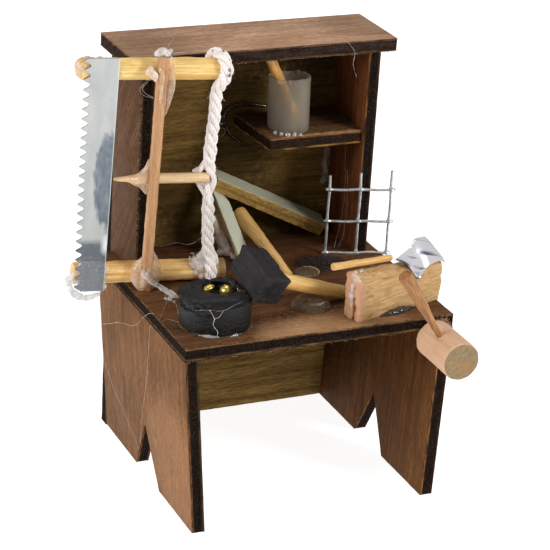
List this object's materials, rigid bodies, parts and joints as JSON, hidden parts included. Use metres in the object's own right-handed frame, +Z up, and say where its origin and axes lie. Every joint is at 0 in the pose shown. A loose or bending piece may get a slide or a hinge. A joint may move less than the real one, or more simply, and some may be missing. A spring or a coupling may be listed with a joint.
{
  "type": "miniature carpenter's workbench",
  "caption": "Miniature workbench of stained plywood with a roofed hutch, a shelf and small hand-made carpenter's tools glued in place.",
  "frame": {"origin": "on the floor, in the middle of the back board's foot: midway along the bench top's width and midway through the board's thickness", "axes": "+X to the right as seen from the front, +Y to the back board, +Z up"},
  "size_m": [0.078, 0.0707, 0.0984],
  "materials": {
    "walnut_ply": "satin walnut stain, laser-burnt edges",
    "dark_ply": "dark walnut stain, laser-burnt edges",
    "olive_ply": "thin stain, horizontal grain",
    "bamboo": "bare bamboo and straw-yellow dowel",
    "slat_wood": "bare slat",
    "toothpick_wood": "bare, smooth",
    "blade_steel": "bright foil-like sheet",
    "cotton": "twisted cotton cord",
    "charcoal": "dull black, chipped",
    "ember": "glossy black glue bed",
    "gold": "polished",
    "painted_mdf": "bare fibreboard edge, grey-green painted faces",
    "arm_grey": "grey-green paint",
    "wire": "dull galvanised",
    "pale_wood": "rough sawn",
    "axe_foil": "crumpled foil",
    "stained_wood": "orange-brown stain",
    "mallet_wood": "bare dowel",
    "frosted": "frosted translucent",
    "glue": "hot-melt glue, translucent"
  },
  "bodies": {
    "root": {"left_side_panel": "walnut_ply", "right_side_panel": "walnut_ply", "bench_top": "dark_ply", "back_board": "olive_ply", "left_hutch_panel": "walnut_ply", "right_hutch_panel": "walnut_ply", "roof_board": "walnut_ply", "shelf_board": "dark_ply", "saw_top_rod": "bamboo", "saw_bottom_rod": "bamboo", "saw_stretcher": "slat_wood", "saw_blade": "blade_steel", "saw_toggle": "toothpick_wood", "saw_cord": "cotton", "charcoal_pot": "charcoal", "ember_fill": "ember", "gold_beads": "gold", "hammer_head": "charcoal", "hammer_handle": "bamboo", "pointed_stick": "bamboo", "square_stock": "painted_mdf", "square_blade": "arm_grey", "wire_grid": "wire", "chopping_log": "pale_wood", "axe_handle": "bamboo", "axe_head": "axe_foil", "mallet_head": "mallet_wood", "mallet_handle": "stained_wood", "jar": "frosted", "jar_stick": "bamboo", "hammer_glue_pad": "glue", "glue_disc": "glue"}
  },
  "joints": []
}
